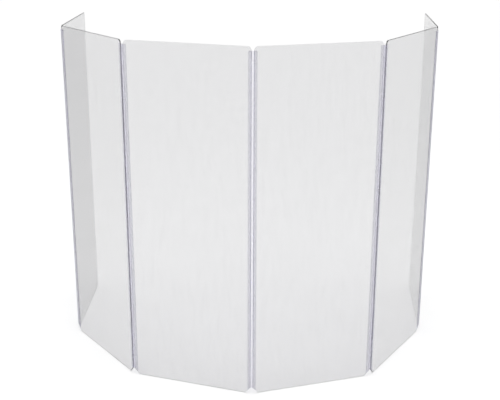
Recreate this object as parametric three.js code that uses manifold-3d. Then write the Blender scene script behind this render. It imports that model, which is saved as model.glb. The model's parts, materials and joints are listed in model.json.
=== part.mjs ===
// Folding drum shield: six clear acrylic panels, joined edge to edge by five full-length clear hinges.
// Each hinge is one extrusion with three zones: two stiff channels that slip on the edges of the sheets,
// and a flexible web between them. The web bends along a line at each of its two sides.
// Millimetres, +Z up. The floor is z = 0, -Y is the front, +X is to the right as seen from the front.

import * as THREE from 'three';
import { mergeVertices } from 'three/addons/utils/BufferGeometryUtils.js';
import Module from 'manifold-3d';

const wasm = await Module();
wasm.setup();

// Panels: stock 1/4 inch sheet, 24 by 66 inches
const PANEL_WIDTH = 609.6;
const PANEL_HEIGHT = 1676.4;
const PANEL_THICKNESS = 6.35;
const TOP_CORNER_RADIUS = 19;
const CABLE_CUT_WIDTH = 25.4;
const CABLE_CUT_HEIGHT = 28;

// Hinge channels: the stiff U sections that grip the sheets
const CHANNEL_WALL = 1.1;
const CHANNEL_GRIP = 13.4;
const SHEET_CLEARANCE = 0.25;

// Hinge webs: the flexible strips between two channels
const WEB_THICKNESS = 1.2;
const WEB_CLEARANCE = 0.3;
const FOLDED_CLEARANCE = 0.4;

// How far each hinge is folded inward from straight as the shield stands, in degrees, left to right
const STANDING_FOLDS = { '1_2': 37, '2_3': 35, '3_4': 36, '4_5': 40, '5_6': 28 };
const LEFT_PANELS = [3, 2, 1];
const RIGHT_PANELS = [4, 5, 6];

// Overrun of the trimming outline past the channel's faces
const TRIM_OVERRUN = 5;

// Steps in each quarter round of a panel's corner
const CORNER_STEPS = 12;

// Sizes that follow
const CHANNEL_THICKNESS = PANEL_THICKNESS + 2 * (SHEET_CLEARANCE + CHANNEL_WALL);
const CHANNEL_WIDTH = CHANNEL_GRIP + SHEET_CLEARANCE + CHANNEL_WALL;
const BACK_STANDOFF = WEB_THICKNESS / 2 + WEB_CLEARANCE;
const EDGE_STANDOFF = BACK_STANDOFF + CHANNEL_WALL + SHEET_CLEARANCE;
const FLEX_SPACING = CHANNEL_THICKNESS + FOLDED_CLEARANCE;
const PANEL_PITCH = PANEL_WIDTH + 2 * EDGE_STANDOFF;
const HINGE_TOP = PANEL_HEIGHT - TOP_CORNER_RADIUS;
const CUT_SLOPE = CABLE_CUT_HEIGHT / CABLE_CUT_WIDTH;
const HINGE_BOTTOM = CABLE_CUT_HEIGHT + CUT_SLOPE * (SHEET_CLEARANCE + CHANNEL_WALL);

const acrylic = { color: '#e3e6e8', roughness: 0.08, metalness: 0, transparent: true, opacity: 0.3 };
const stiffVinyl = { color: '#cfcfdc', roughness: 0.25, metalness: 0, transparent: true, opacity: 0.6 };
const softVinyl = { color: '#dedee8', roughness: 0.35, metalness: 0, transparent: true, opacity: 0.5 };

// A closed solid from a geometry, ready to be cut or joined
function solidOf(geometry) {
  const bare = geometry.clone();
  bare.deleteAttribute('normal');
  bare.deleteAttribute('uv');
  const merged = mergeVertices(bare);
  return new wasm.Manifold(new wasm.Mesh({
    numProp: 3,
    vertProperties: merged.attributes.position.array,
    triVerts: new Uint32Array(merged.index.array),
  }));
}

// The geometry of a closed solid
function geometryOf(solid) {
  const mesh = solid.getMesh();
  const geometry = new THREE.BufferGeometry();
  geometry.setAttribute('position', new THREE.BufferAttribute(mesh.vertProperties, 3));
  geometry.setIndex(new THREE.BufferAttribute(mesh.triVerts, 1));
  geometry.computeVertexNormals();
  return geometry;
}

// A plan outline pulled straight up from one height to another
function upright(outline, bottom, top) {
  const geometry = new THREE.ExtrudeGeometry(outline, { depth: top - bottom, bevelEnabled: false });
  return geometry.translate(0, 0, bottom);
}

// A side outline, drawn in x and z, made as thick as asked about y = 0
function plate(outline, thickness, curveSegments) {
  const options = { depth: thickness, bevelEnabled: false, curveSegments };
  const geometry = new THREE.ExtrudeGeometry(outline, options);
  return geometry.translate(0, 0, -thickness / 2).rotateX(Math.PI / 2);
}

// The sheet: rounded top corners and bottom corners cut off for cables, with x = 0 at its middle
function panelGeometry() {
  const half = PANEL_WIDTH / 2;
  const arcCentre = { x: half - TOP_CORNER_RADIUS, y: PANEL_HEIGHT - TOP_CORNER_RADIUS };
  const outline = new THREE.Shape();
  outline.moveTo(-half + CABLE_CUT_WIDTH, 0);
  outline.lineTo(half - CABLE_CUT_WIDTH, 0);
  outline.lineTo(half, CABLE_CUT_HEIGHT);
  outline.lineTo(half, arcCentre.y);
  outline.absarc(arcCentre.x, arcCentre.y, TOP_CORNER_RADIUS, 0, Math.PI / 2, false);
  outline.lineTo(-arcCentre.x, PANEL_HEIGHT);
  outline.absarc(-arcCentre.x, arcCentre.y, TOP_CORNER_RADIUS, Math.PI / 2, Math.PI, false);
  outline.lineTo(-half, CABLE_CUT_HEIGHT);
  outline.closePath();
  return plate(outline, PANEL_THICKNESS, CORNER_STEPS);
}

// The channel on a sheet's right-hand edge, with x = 0 at its back: a U trimmed along the cable cut
function channelGeometry() {
  const outer = CHANNEL_THICKNESS / 2;
  const inner = outer - CHANNEL_WALL;
  const section = new THREE.Shape();
  section.moveTo(0, -outer);
  section.lineTo(0, outer);
  section.lineTo(-CHANNEL_WIDTH, outer);
  section.lineTo(-CHANNEL_WIDTH, inner);
  section.lineTo(-CHANNEL_WALL, inner);
  section.lineTo(-CHANNEL_WALL, -inner);
  section.lineTo(-CHANNEL_WIDTH, -inner);
  section.lineTo(-CHANNEL_WIDTH, -outer);
  section.closePath();

  const far = -CHANNEL_WIDTH - TRIM_OVERRUN;
  const trim = new THREE.Shape();
  trim.moveTo(TRIM_OVERRUN, HINGE_BOTTOM + CUT_SLOPE * TRIM_OVERRUN);
  trim.lineTo(TRIM_OVERRUN, HINGE_TOP + TRIM_OVERRUN);
  trim.lineTo(far, HINGE_TOP + TRIM_OVERRUN);
  trim.lineTo(far, HINGE_BOTTOM + CUT_SLOPE * far);
  trim.closePath();

  const bar = solidOf(upright(section, 0, HINGE_TOP));
  const keep = solidOf(plate(trim, CHANNEL_THICKNESS + 2 * TRIM_OVERRUN));
  return geometryOf(bar.intersect(keep));
}

// The web: a flat strip whose round sides are centred on the two lines that it bends along
function webGeometry() {
  const half = FLEX_SPACING / 2;
  const section = new THREE.Shape();
  section.absarc(half, 0, WEB_THICKNESS / 2, -Math.PI / 2, Math.PI / 2, false);
  section.absarc(-half, 0, WEB_THICKNESS / 2, Math.PI / 2, 3 * Math.PI / 2, false);
  section.closePath();
  return upright(section, HINGE_BOTTOM, HINGE_TOP);
}

const sheet = panelGeometry();
const channel = channelGeometry();
const web = webGeometry();

function piece(name, geometry, look, x) {
  const mesh = new THREE.Mesh(geometry, new THREE.MeshStandardMaterial(look));
  mesh.name = name;
  mesh.position.x = x;
  return mesh;
}

function addChannel(group, name, x, opensRight) {
  const mesh = piece(name, channel, stiffVinyl, x);
  mesh.rotation.z = opensRight ? Math.PI : 0;
  group.add(mesh);
}

// Left to right, the two numbers that name a hinge
function hingeName(one, other) {
  return `${Math.min(one, other)}_${Math.max(one, other)}`;
}

// A group turned inward about a bending line by half of its hinge's fold; side is +1 right, -1 left
function turnedHalf(parent, x, side, hinge) {
  const group = new THREE.Group();
  group.position.x = x;
  group.rotation.z = side * THREE.MathUtils.degToRad(STANDING_FOLDS[hinge] / 2);
  parent.add(group);
  return group;
}

// The panels from the front hinge outward on one side, each carried by the web before it
function addSide(frontWeb, side, panels) {
  const towards = side > 0 ? 'left' : 'right';
  const away = side > 0 ? 'right' : 'left';
  let carrier = frontWeb;
  let hinge = hingeName(LEFT_PANELS[0], RIGHT_PANELS[0]);
  let bendingLine = side * FLEX_SPACING / 2;
  panels.forEach((number, order) => {
    const next = panels[order + 1];
    const group = turnedHalf(carrier, bendingLine, side, hinge);
    group.add(piece(`panel_${number}`, sheet, acrylic, side * PANEL_PITCH / 2));
    addChannel(group, `channel_${number}_${towards}`, side * BACK_STANDOFF, side > 0);
    if (next === undefined) return;
    addChannel(group, `channel_${number}_${away}`, side * (PANEL_PITCH - BACK_STANDOFF), side < 0);
    hinge = hingeName(number, next);
    carrier = turnedHalf(group, side * PANEL_PITCH, side, hinge);
    carrier.add(piece(`web_${hinge}`, web, softVinyl, side * FLEX_SPACING / 2));
    bendingLine = side * FLEX_SPACING;
  });
}

const front = new THREE.Group();
front.add(piece(`web_${hingeName(LEFT_PANELS[0], RIGHT_PANELS[0])}`, web, softVinyl, 0));
addSide(front, -1, LEFT_PANELS);
addSide(front, 1, RIGHT_PANELS);

// The origin is on the floor, under the middle of the standing shield's box
const shield = new THREE.Group();
shield.add(front);
shield.updateMatrixWorld(true);
const middle = new THREE.Box3().setFromObject(shield, true).getCenter(new THREE.Vector3());
front.position.set(-middle.x, -middle.y, 0);

export default shield;
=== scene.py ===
# Looks of the folding drum shield: six clear acrylic sheets and five clear vinyl hinges.
# Every length is in metres in the shield's own frame: the floor is z = 0, the front faces -Y.

import json
import math

import bmesh
import bpy
from mathutils import Matrix, Vector


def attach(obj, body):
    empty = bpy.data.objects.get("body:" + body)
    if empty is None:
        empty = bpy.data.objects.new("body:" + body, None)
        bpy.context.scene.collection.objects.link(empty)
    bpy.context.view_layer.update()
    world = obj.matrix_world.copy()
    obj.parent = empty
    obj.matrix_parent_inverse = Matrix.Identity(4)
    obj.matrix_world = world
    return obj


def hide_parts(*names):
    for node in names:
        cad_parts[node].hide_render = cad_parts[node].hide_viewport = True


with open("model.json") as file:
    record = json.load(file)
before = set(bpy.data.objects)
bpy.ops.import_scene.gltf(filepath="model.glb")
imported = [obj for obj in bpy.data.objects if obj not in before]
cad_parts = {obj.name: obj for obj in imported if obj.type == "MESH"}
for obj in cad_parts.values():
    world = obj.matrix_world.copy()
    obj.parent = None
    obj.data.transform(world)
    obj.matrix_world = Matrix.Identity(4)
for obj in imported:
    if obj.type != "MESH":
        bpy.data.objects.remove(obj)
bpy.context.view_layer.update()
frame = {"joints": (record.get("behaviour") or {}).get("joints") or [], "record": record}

MM = 0.001
PANELS = 6

# Sheets: 1/4 inch acrylic, rounded at the top and cut off at the bottom for cables
SHEET_WIDTH = 609.6 * MM
SHEET_HEIGHT = 1676.4 * MM
SHEET_THICKNESS = 6.35 * MM
TOP_CORNER_RADIUS = 19 * MM
CABLE_CUT_WIDTH = 25.4 * MM
CABLE_CUT_HEIGHT = 28 * MM
SHEET_EDGE_RADIUS = 2.4 * MM
SHEET_EDGE_STEPS = 5
TOP_CORNER_STEPS = 16

# Channels: stiff U sections on the sheets' edges
CHANNEL_WALL = 1.1 * MM
CHANNEL_THICKNESS = 9.05 * MM
CHANNEL_WIDTH = 14.75 * MM
CHANNEL_CORNER = 0.7 * MM
CHANNEL_INNER_CORNER = 0.3 * MM
CHANNEL_LIP = 0.45 * MM
CHANNEL_END_BREAK = 0.25 * MM
CHANNEL_STANDOFF = 0.9 * MM
SECTION_STEPS = 4
HINGE_TOP = 1657.4 * MM
HINGE_BOTTOM = 29.49 * MM

# Webs: a soft strip with a round bead along each side, centred on the line that it bends along
WEB_HALF_THICKNESS = 0.6 * MM
WEB_BEAD = 0.88 * MM
WEB_END_BREAK = 0.15 * MM
BEAD_STEPS = 14

# Lines sharper than this stay crisp edges
CRISP = math.radians(32)

# Acrylic as it passes light: its surface, its body, which darkens long paths, and the shadow it casts
ACRYLIC_IOR = 1.49
ACRYLIC_SURFACE = "#fafafb"
ACRYLIC_BODY = "#f4f4f4"
ACRYLIC_DENSITY = 340.0
ACRYLIC_SHADOW = "#ffffff"

# How squarely a point of the sheet faces: through it on a broad face, or sideways on a sawn edge
BROAD_FACE = 0.9
SAWN_EDGE = 0.8

# Finish of the sheets: roughness, and the share of light that a sawn edge scatters
CLEAN_ROUGHNESS = 0.015
FILM_ROUGHNESS = 0.06
EDGE_ROUGHNESS = 0.30
SAWN_FROST = 0.30

# Wiping marks: where the noise is between start and full they fade in, and the seed sets the sheets apart
WIPE_WIDTH = 24 * MM
WIPE_STRETCH = 0.16
WIPE_LEAN = math.radians(28)
WIPE_SEED = 40.0
FILM_START = 0.42
FILM_FULL = 0.75
FILM_VEIL = 0.018

# Dust: a speck's solid core and soft rim are shares of the spacing
DUST_SPACING = 4 * MM
SPECK_CORE = 0.10
SPECK_RIM = 0.16
SPECK_VEIL = 0.25
DUSTY_HEIGHT = 200 * MM
DUST_HIGHER_UP = 0.12
SETTLED_VEIL = 0.035

# Relief of the sheets: saw marks on the edges, the ripple of casting on the faces
SAW_MARK_SPACING = 1.4 * MM
SAW_MARK_STRETCH = 0.12
SAW_MARK_DEPTH = 0.05 * MM
RIPPLE_LENGTH = 160 * MM
RIPPLE_DEPTH = 0.10 * MM
SHEET_RELIEF = 0.6

# Vinyl: gloss varies between two shares of its roughness, over a span of the two patterns' product
VINYL_IOR = 1.53
VINYL_SURFACE = "#f9f9f9"
VINYL_BODY = "#d9d7e6"
VINYL_SHADOW = "#f3f2f7"
DIE_LINE_SPACING = 1.5 * MM
DIE_LINE_STRETCH = 0.004
DIE_LINE_DEPTH = 0.04 * MM
UNEVENNESS_LENGTH = 60 * MM
GLOSS_PATTERN_LOW = 0.12
GLOSS_PATTERN_HIGH = 0.40
GLOSSIEST_SHARE = 0.7
DULLEST_SHARE = 1.5

# Floor paint: two tones, mixed over a span of the mottling
PAINT_DARK = "#f4f4f4"
PAINT_LIGHT = "#f6f6f6"
PAINT_ROUGHNESS = 0.9
MOTTLE_LENGTH = 300 * MM
MOTTLE_LOW = 0.3
MOTTLE_HIGH = 0.7

# The sRGB standard's curve
SRGB_TOE = 0.04045
SRGB_TOE_SLOPE = 12.92
SRGB_OFFSET = 0.055
SRGB_POWER = 2.4

# A Mix node's sockets, which share their names and so go by number
MIX_FACTOR, MIX_FLOAT_A, MIX_FLOAT_B, MIX_COLOUR_A, MIX_COLOUR_B = 0, 2, 3, 6, 7
MIXED_FLOAT, MIXED_COLOUR = 0, 2

# Photograph's camera
LENS = 65.15
SENSOR = 36.0
CAMERA_PLACE = (0.0345, -4.5579, 2.2381)
CAMERA_DOWN = math.radians(17.852)
CAMERA_LEFT = math.radians(0.635)
CAMERA_ROLL = math.radians(0.191)

# Studio
FLOOR_HALF = 80.0
FLOOR_DROP = 0.3 * MM
SKY_COLOUR = "#ffffff"
SKY_LOW = math.radians(15)
SKY_HIGH = math.radians(60)
HORIZON_STRENGTH = 1.0
LOW_SKY_STRENGTH = 0.93
OVERHEAD_STRENGTH = 1.2
LAMP_SIZE = 3.5
LAMP_PLACE = (0.0, -1.6, 4.6)
LAMP_POWER = 32.0

# Enough to follow light through all the sheets when they are folded into a pack
LIGHT_BOUNCES = 32


# Meshes

def rounded(corners, steps):
    """A closed outline from corners (x, y, radius). Each that has a radius is cut round in steps."""
    outline = []
    for i, (x, y, radius) in enumerate(corners):
        here = Vector((x, y))
        if not radius:
            outline.append(here)
            continue
        back = (Vector(corners[i - 1][:2]) - here).normalized()
        ahead = (Vector(corners[(i + 1) % len(corners)][:2]) - here).normalized()
        half = back.angle(ahead) / 2
        middle = here + (back + ahead).normalized() * radius / math.sin(half)
        start = here + back * radius / math.tan(half) - middle
        end = here + ahead * radius / math.tan(half) - middle
        turn = start.angle_signed(end)
        for step in range(steps + 1):
            outline.append(middle + Matrix.Rotation(-turn * step / steps, 2) @ start)
    return outline


def inset(outline, distance):
    """A counterclockwise outline moved inward, with its corners kept."""
    moved = []
    for i, here in enumerate(outline):
        into = (here - outline[i - 1]).normalized()
        out = (outline[(i + 1) % len(outline)] - here).normalized()
        one, other = Vector((-into.y, into.x)), Vector((-out.y, out.x))
        moved.append(here + (one + other) * distance / (1 + one.dot(other)))
    return moved


def loft(name, rings):
    """A closed mesh through rings of points, with both ends filled."""
    shell = bmesh.new()
    rows = [[shell.verts.new(point) for point in ring] for ring in rings]
    for row, after in zip(rows, rows[1:]):
        for i in range(len(row)):
            shell.faces.new((row[i - 1], row[i], after[i], after[i - 1]))
    shell.faces.new(rows[0][::-1])
    shell.faces.new(rows[-1])
    bmesh.ops.recalc_face_normals(shell, faces=shell.faces)
    mesh = bpy.data.meshes.new(name)
    shell.to_mesh(mesh)
    shell.free()
    mesh.shade_smooth()
    mesh.set_sharp_from_angle(angle=CRISP)
    return mesh


def sheet_mesh():
    """The sheet, x along its width and y through it, with its edges rounded over on both sides."""
    half = SHEET_WIDTH / 2
    outline = rounded([
        (-half + CABLE_CUT_WIDTH, 0, 0),
        (half - CABLE_CUT_WIDTH, 0, 0),
        (half, CABLE_CUT_HEIGHT, 0),
        (half, SHEET_HEIGHT, TOP_CORNER_RADIUS),
        (-half, SHEET_HEIGHT, TOP_CORNER_RADIUS),
        (-half, CABLE_CUT_HEIGHT, 0),
    ], TOP_CORNER_STEPS)
    levels = []
    for step in range(SHEET_EDGE_STEPS + 1):
        angle = math.pi / 2 * step / SHEET_EDGE_STEPS
        ring = inset(outline, SHEET_EDGE_RADIUS * (1 - math.sin(angle)))
        levels.append((SHEET_THICKNESS / 2 - SHEET_EDGE_RADIUS * (1 - math.cos(angle)), ring))
    levels += [(-y, ring) for y, ring in reversed(levels)]
    return loft("sheet", [[(p.x, y, p.y) for p in ring] for y, ring in levels])


def channel_mesh():
    """The channel on a sheet's right-hand edge, x = 0 at its back, its foot cut along the cable cut."""
    outer = CHANNEL_THICKNESS / 2
    inner = outer - CHANNEL_WALL
    outline = rounded([
        (0, -outer, CHANNEL_CORNER),
        (0, outer, CHANNEL_CORNER),
        (-CHANNEL_WIDTH, outer, CHANNEL_LIP),
        (-CHANNEL_WIDTH, inner, CHANNEL_LIP),
        (-CHANNEL_WALL, inner, CHANNEL_INNER_CORNER),
        (-CHANNEL_WALL, -inner, CHANNEL_INNER_CORNER),
        (-CHANNEL_WIDTH, -inner, CHANNEL_LIP),
        (-CHANNEL_WIDTH, -outer, CHANNEL_LIP),
    ], SECTION_STEPS)
    narrow = inset(outline, CHANNEL_END_BREAK)
    slope = CABLE_CUT_HEIGHT / CABLE_CUT_WIDTH
    return loft("channel", [
        [(p.x, p.y, HINGE_BOTTOM + slope * p.x) for p in narrow],
        [(p.x, p.y, HINGE_BOTTOM + slope * p.x + CHANNEL_END_BREAK) for p in outline],
        [(p.x, p.y, HINGE_TOP - CHANNEL_END_BREAK) for p in outline],
        [(p.x, p.y, HINGE_TOP) for p in narrow],
    ])


def web_mesh(spacing):
    """The web, x across it, whose beads meet the channels' backs at every angle."""
    waist = math.asin(WEB_HALF_THICKNESS / WEB_BEAD)
    outline = []
    for side, facing in ((1, 0), (-1, math.pi)):
        for step in range(BEAD_STEPS + 1):
            angle = facing + (math.pi - waist) * (2 * step / BEAD_STEPS - 1)
            x = side * spacing / 2 + WEB_BEAD * math.cos(angle)
            outline.append(Vector((x, WEB_BEAD * math.sin(angle))))
    narrow = inset(outline, WEB_END_BREAK)
    levels = [
        (HINGE_BOTTOM, narrow), (HINGE_BOTTOM + WEB_END_BREAK, outline),
        (HINGE_TOP - WEB_END_BREAK, outline), (HINGE_TOP, narrow),
    ]
    return loft("web", [[(p.x, p.y, z) for p in ring] for z, ring in levels])


# Materials

def linear(code):
    """An sRGB hex colour as linear red, green, blue and alpha."""
    channels = [int(code[i:i + 2], 16) / 255 for i in (1, 3, 5)]
    return (*[
        c / SRGB_TOE_SLOPE if c <= SRGB_TOE else ((c + SRGB_OFFSET) / (1 + SRGB_OFFSET)) ** SRGB_POWER
        for c in channels], 1.0)


def empty_nodes(owner):
    """A material or a sky, ready for its nodes."""
    owner.use_nodes = True
    owner.node_tree.nodes.clear()
    return owner


def add(owner, kind, settings=None, inputs=None):
    """Adds a node. An input goes by name or number, and is a plain value or another node's output."""
    tree = owner.node_tree
    node = tree.nodes.new(kind)
    for name, value in (settings or {}).items():
        setattr(node, name, value)
    for name, value in (inputs or {}).items():
        if isinstance(value, bpy.types.NodeSocket):
            tree.links.new(value, node.inputs[name])
        else:
            node.inputs[name].default_value = value
    return node


def clear_plastic(material, surface, shadow_colour, body_colour, density):
    """Ends a clear plastic. Light passes on through it to the floor, and long paths inside it go dark."""
    shadow = add(material, "ShaderNodeBsdfTransparent", inputs={"Color": linear(shadow_colour)})
    path = add(material, "ShaderNodeLightPath")
    mixed = add(material, "ShaderNodeMixShader", inputs={
        0: path.outputs["Is Shadow Ray"], 1: surface.outputs[0], 2: shadow.outputs[0]})
    body = add(material, "ShaderNodeVolumeAbsorption", inputs={
        "Color": linear(body_colour), "Density": density})
    add(material, "ShaderNodeOutputMaterial", inputs={
        "Surface": mixed.outputs[0], "Volume": body.outputs[0]})


def cast_acrylic():
    """Cast acrylic sheet with glossy faces and sawn, scraped edges. It looks like thick clear glass with
    a grey cast, dark where the eye looks along it from an edge, with a faint film where it was wiped."""
    material = empty_nodes(bpy.data.materials.new("cast_acrylic_sheet"))
    place = add(material, "ShaderNodeTexCoord")
    which = add(material, "ShaderNodeObjectInfo")
    local = add(material, "ShaderNodeSeparateXYZ", inputs={"Vector": place.outputs["Object"]})
    facing = add(material, "ShaderNodeSeparateXYZ", inputs={"Vector": place.outputs["Normal"]})
    through = add(material, "ShaderNodeMath", {"operation": "ABSOLUTE"}, {0: facing.outputs["Y"]})
    # 1 on the edges and their rounding, 0 on the broad faces
    rim = add(material, "ShaderNodeMath", {"operation": "LESS_THAN"}, {
        0: through.outputs[0], 1: BROAD_FACE})

    # Wiping marks: soft slanting streaks about 150 mm long and 24 mm wide, different on each sheet
    seed = add(material, "ShaderNodeMath", {"operation": "MULTIPLY"}, {
        0: which.outputs["Random"], 1: WIPE_SEED})
    slanted = add(material, "ShaderNodeMapping", inputs={
        "Vector": place.outputs["Object"], "Rotation": (0, WIPE_LEAN, 0), "Scale": (1, 1, WIPE_STRETCH)})
    wiping = add(material, "ShaderNodeTexNoise", {"noise_dimensions": "4D"}, {
        "Vector": slanted.outputs[0], "W": seed.outputs[0], "Scale": 1 / WIPE_WIDTH,
        "Detail": 4.0, "Roughness": 0.6, "Distortion": 0.8})
    film = add(material, "ShaderNodeMapRange", {"interpolation_type": "SMOOTHSTEP"}, {
        "Value": wiping.outputs[0], "From Min": FILM_START, "From Max": FILM_FULL})

    # Dust, thicker near the floor. Its specks are about 1 mm across and 4 mm apart, coarse enough to show
    specks = add(material, "ShaderNodeTexVoronoi", inputs={
        "Vector": place.outputs["Object"], "Scale": 1 / DUST_SPACING})
    speck = add(material, "ShaderNodeMapRange", inputs={
        "Value": specks.outputs["Distance"], "From Min": SPECK_CORE, "From Max": SPECK_RIM,
        "To Min": 1.0, "To Max": 0.0})
    low = add(material, "ShaderNodeMapRange", {"interpolation_type": "SMOOTHSTEP"}, {
        "Value": local.outputs["Z"], "From Max": DUSTY_HEIGHT, "To Min": 1.0, "To Max": DUST_HIGHER_UP})
    dust = add(material, "ShaderNodeMath", {"operation": "MULTIPLY"}, {
        0: speck.outputs[0], 1: low.outputs[0]})
    settled = add(material, "ShaderNodeMath", {"operation": "MULTIPLY"}, {
        0: low.outputs[0], 1: SETTLED_VEIL})
    marks = add(material, "ShaderNodeMath", {"operation": "MULTIPLY_ADD"}, {
        0: film.outputs[0], 1: FILM_VEIL, 2: settled.outputs[0]})
    # The upright edges stay as sawn, a little frosted; the top and foot are polished
    sideways = add(material, "ShaderNodeMath", {"operation": "ABSOLUTE"}, {0: facing.outputs["X"]})
    sawn = add(material, "ShaderNodeMath", {"operation": "GREATER_THAN"}, {
        0: sideways.outputs[0], 1: SAWN_EDGE})
    frosted = add(material, "ShaderNodeMath", {"operation": "MULTIPLY_ADD"}, {
        0: sawn.outputs[0], 1: SAWN_FROST, 2: marks.outputs[0]})
    veil = add(material, "ShaderNodeMath", {"operation": "MULTIPLY_ADD"}, {
        0: dust.outputs[0], 1: SPECK_VEIL, 2: frosted.outputs[0]})
    clear = add(material, "ShaderNodeMath", {"operation": "SUBTRACT"}, {0: 1.0, 1: veil.outputs[0]})

    # Faces nearly smooth, a little duller under the film; edges satin from the scraper
    face_gloss = add(material, "ShaderNodeMapRange", inputs={
        "Value": film.outputs[0], "To Min": CLEAN_ROUGHNESS, "To Max": FILM_ROUGHNESS})
    gloss = add(material, "ShaderNodeMix", {"data_type": "FLOAT"}, {
        MIX_FACTOR: rim.outputs[0], MIX_FLOAT_A: face_gloss.outputs[0], MIX_FLOAT_B: EDGE_ROUGHNESS})

    # Saw marks across the edges about 1.4 mm apart, and the slow ripple of a cast face
    along_cut = add(material, "ShaderNodeMapping", inputs={
        "Vector": place.outputs["Object"], "Scale": (1, SAW_MARK_STRETCH, 1)})
    saw = add(material, "ShaderNodeTexNoise", inputs={
        "Vector": along_cut.outputs[0], "Scale": 1 / SAW_MARK_SPACING, "Detail": 2.0})
    ripple = add(material, "ShaderNodeTexNoise", inputs={
        "Vector": place.outputs["Object"], "Scale": 1 / RIPPLE_LENGTH, "Detail": 0.0})
    relief = add(material, "ShaderNodeMix", {"data_type": "FLOAT"}, {
        MIX_FACTOR: rim.outputs[0], MIX_FLOAT_A: ripple.outputs[0], MIX_FLOAT_B: saw.outputs[0]})
    depth = add(material, "ShaderNodeMix", {"data_type": "FLOAT"}, {
        MIX_FACTOR: rim.outputs[0], MIX_FLOAT_A: RIPPLE_DEPTH, MIX_FLOAT_B: SAW_MARK_DEPTH})
    bump = add(material, "ShaderNodeBump", inputs={
        "Strength": SHEET_RELIEF, "Distance": depth.outputs[MIXED_FLOAT],
        "Height": relief.outputs[MIXED_FLOAT]})

    surface = add(material, "ShaderNodeBsdfPrincipled", inputs={
        "Base Color": linear(ACRYLIC_SURFACE), "Roughness": gloss.outputs[MIXED_FLOAT],
        "IOR": ACRYLIC_IOR, "Transmission Weight": clear.outputs[0], "Normal": bump.outputs[0]})
    clear_plastic(material, surface, ACRYLIC_SHADOW, ACRYLIC_BODY, ACRYLIC_DENSITY)
    return material


def extruded_vinyl(name, die_lines, roughness, milk, density):
    """Clear vinyl pushed through a die, which leaves fine lines along its whole length. Its lavender cast
    shows as grey violet where walls stand edge on."""
    material = empty_nodes(bpy.data.materials.new(name))
    place = add(material, "ShaderNodeTexCoord")
    # Die lines drawn out along the length, about 1.5 mm apart, which is coarse enough to show
    drawn = add(material, "ShaderNodeMapping", inputs={
        "Vector": place.outputs["Object"], "Scale": (1, 1, DIE_LINE_STRETCH)})
    lines = add(material, "ShaderNodeTexNoise", inputs={
        "Vector": drawn.outputs[0], "Scale": 1 / DIE_LINE_SPACING, "Detail": 2.0, "Roughness": 0.6})
    # Slow unevenness of the cooled strip, about 60 mm long
    slow = add(material, "ShaderNodeTexNoise", inputs={
        "Vector": place.outputs["Object"], "Scale": 1 / UNEVENNESS_LENGTH, "Detail": 1.0})
    both = add(material, "ShaderNodeMath", {"operation": "MULTIPLY"}, {
        0: lines.outputs[0], 1: slow.outputs[0]})
    gloss = add(material, "ShaderNodeMapRange", inputs={
        "Value": both.outputs[0], "From Min": GLOSS_PATTERN_LOW, "From Max": GLOSS_PATTERN_HIGH,
        "To Min": roughness * GLOSSIEST_SHARE, "To Max": roughness * DULLEST_SHARE})
    bump = add(material, "ShaderNodeBump", inputs={
        "Strength": die_lines, "Distance": DIE_LINE_DEPTH, "Height": lines.outputs[0]})
    surface = add(material, "ShaderNodeBsdfPrincipled", inputs={
        "Base Color": linear(VINYL_SURFACE), "Roughness": gloss.outputs[0], "IOR": VINYL_IOR,
        "Transmission Weight": 1 - milk, "Normal": bump.outputs[0]})
    clear_plastic(material, surface, VINYL_SHADOW, VINYL_BODY, density)
    return material


def matt_floor():
    """Matt white studio floor, with the faint mottling of rolled paint."""
    material = empty_nodes(bpy.data.materials.new("rolled_matt_floor_paint"))
    place = add(material, "ShaderNodeTexCoord")
    mottle = add(material, "ShaderNodeTexNoise", inputs={
        "Vector": place.outputs["Object"], "Scale": 1 / MOTTLE_LENGTH, "Detail": 3.0})
    tone = add(material, "ShaderNodeMapRange", inputs={
        "Value": mottle.outputs[0], "From Min": MOTTLE_LOW, "From Max": MOTTLE_HIGH})
    colour = add(material, "ShaderNodeMix", {"data_type": "RGBA"}, {
        MIX_FACTOR: tone.outputs[0], MIX_COLOUR_A: linear(PAINT_DARK), MIX_COLOUR_B: linear(PAINT_LIGHT)})
    surface = add(material, "ShaderNodeBsdfPrincipled", inputs={
        "Base Color": colour.outputs[MIXED_COLOUR], "Roughness": PAINT_ROUGHNESS,
        "Specular IOR Level": 0.0})
    add(material, "ShaderNodeOutputMaterial", inputs={"Surface": surface.outputs[0]})
    return material


# Pieces, placed by the lines that the hinges bend along

def put(name, mesh, material, place, heading, body, node):
    """A piece standing at a place on the floor plan, turned so that its own x runs along the heading."""
    piece = bpy.data.objects.new(name, mesh)
    bpy.context.scene.collection.objects.link(piece)
    if not mesh.materials:
        mesh.materials.append(material)
    turn = math.atan2(heading.y, heading.x)
    piece.matrix_world = Matrix.Translation((place.x, place.y, 0)) @ Matrix.Rotation(turn, 4, "Z")
    # Broad faces stay flat beside their rounded edges
    piece.modifiers.new("flat_faces", "WEIGHTED_NORMAL").keep_sharp = True
    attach(piece, body)
    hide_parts(node)
    return piece


bending_lines = {joint["name"]: Vector(joint["pos_m"][:2]) for joint in frame["joints"]}
mounts = {mount["name"]: Vector(mount["pos_m"][:2]) for mount in frame["record"]["mounts"]}
sheet_look = cast_acrylic()
stiff_look = extruded_vinyl(
    "extruded_stiff_vinyl", die_lines=0.35, roughness=0.10, milk=0.02, density=260.0)
soft_look = extruded_vinyl(
    "extruded_soft_vinyl", die_lines=0.25, roughness=0.22, milk=0.08, density=330.0)
sheet_shape, channel_shape = sheet_mesh(), channel_mesh()

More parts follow.
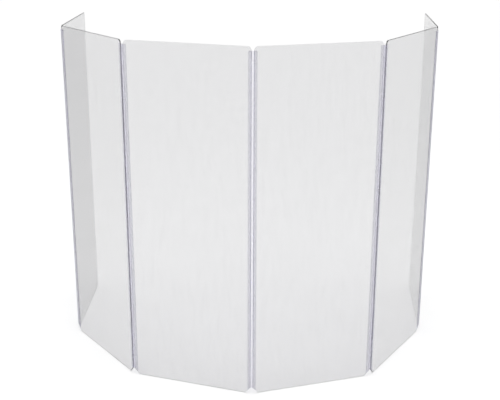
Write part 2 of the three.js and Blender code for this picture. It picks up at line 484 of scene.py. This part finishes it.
for number in range(1, PANELS + 1):
    middle = mounts[f"floor_under_panel_{number}"]
    right = bending_lines.get(f"bend_{number}_{number + 1}_left")
    left = bending_lines.get(f"bend_{number - 1}_{number}_right")
    heading = (right - middle if right else middle - left).normalized()
    body = f"panel_{number}_body"
    put(f"sheet_{number}", sheet_shape, sheet_look, middle, heading,
        body, f"panel_{number}")
    for side, line, outward in (("right", right, heading), ("left", left, -heading)):
        if line:
            put(f"hinge_channel_{number}_{side}", channel_shape, stiff_look,
                line - outward * CHANNEL_STANDOFF, outward,
                body, f"channel_{number}_{side}")

for number in range(1, PANELS):
    hinge = f"{number}_{number + 1}"
    left, right = bending_lines[f"bend_{hinge}_left"], bending_lines[f"bend_{hinge}_right"]
    put(f"hinge_web_{hinge}", web_mesh((right - left).length), soft_look,
        (left + right) / 2, (right - left).normalized(),
        f"web_{hinge}_body", f"web_{hinge}")

# Studio: a white floor under an even white sky

floor_mesh = bpy.data.meshes.new("studio_floor")
floor_mesh.from_pydata(
    [(x * FLOOR_HALF, y * FLOOR_HALF, -FLOOR_DROP) for x, y in ((-1, -1), (1, -1), (1, 1), (-1, 1))],
    [], [(0, 1, 2, 3)])
floor_mesh.materials.append(matt_floor())
studio_floor = bpy.data.objects.new("studio_floor", floor_mesh)
bpy.context.scene.collection.objects.link(studio_floor)

scene = bpy.context.scene
sky = empty_nodes(bpy.data.worlds.new("studio_sky"))
aim = add(sky, "ShaderNodeTexCoord")
height = add(sky, "ShaderNodeSeparateXYZ", inputs={"Vector": aim.outputs["Generated"]})
low_sky = add(sky, "ShaderNodeMapRange", {"interpolation_type": "SMOOTHSTEP"}, {
    "Value": height.outputs["Z"], "From Max": math.sin(SKY_LOW),
    "To Min": HORIZON_STRENGTH, "To Max": LOW_SKY_STRENGTH})
high_sky = add(sky, "ShaderNodeMapRange", {"interpolation_type": "SMOOTHSTEP"}, {
    "Value": height.outputs["Z"], "From Min": math.sin(SKY_LOW), "From Max": math.sin(SKY_HIGH),
    "To Max": OVERHEAD_STRENGTH - LOW_SKY_STRENGTH})
strength = add(sky, "ShaderNodeMath", {"operation": "ADD"}, {
    0: low_sky.outputs[0], 1: high_sky.outputs[0]})
glow = add(sky, "ShaderNodeBackground", inputs={
    "Color": linear(SKY_COLOUR), "Strength": strength.outputs[0]})
add(sky, "ShaderNodeOutputWorld", inputs={"Surface": glow.outputs[0]})
scene.world = sky

lamp_data = bpy.data.lights.new("overhead_softbox", "AREA")
lamp_data.shape, lamp_data.size, lamp_data.energy = "DISK", LAMP_SIZE, LAMP_POWER
lamp = bpy.data.objects.new("overhead_softbox", lamp_data)
lamp.location = LAMP_PLACE
scene.collection.objects.link(lamp)

scene.view_settings.view_transform = "Standard"
scene.cycles.max_bounces = LIGHT_BOUNCES
scene.cycles.transmission_bounces = LIGHT_BOUNCES
scene.cycles.glossy_bounces = LIGHT_BOUNCES
scene.cycles.blur_glossy = 0.0

camera_data = bpy.data.cameras.new("camera")
camera_data.lens, camera_data.sensor_width = LENS, SENSOR
camera = bpy.data.objects.new("camera", camera_data)
camera.matrix_world = (
    Matrix.Translation(CAMERA_PLACE) @ Matrix.Rotation(CAMERA_LEFT, 4, "Z")
    @ Matrix.Rotation(math.pi / 2 - CAMERA_DOWN, 4, "X") @ Matrix.Rotation(CAMERA_ROLL, 4, "Z"))
scene.collection.objects.link(camera)
scene.camera = camera
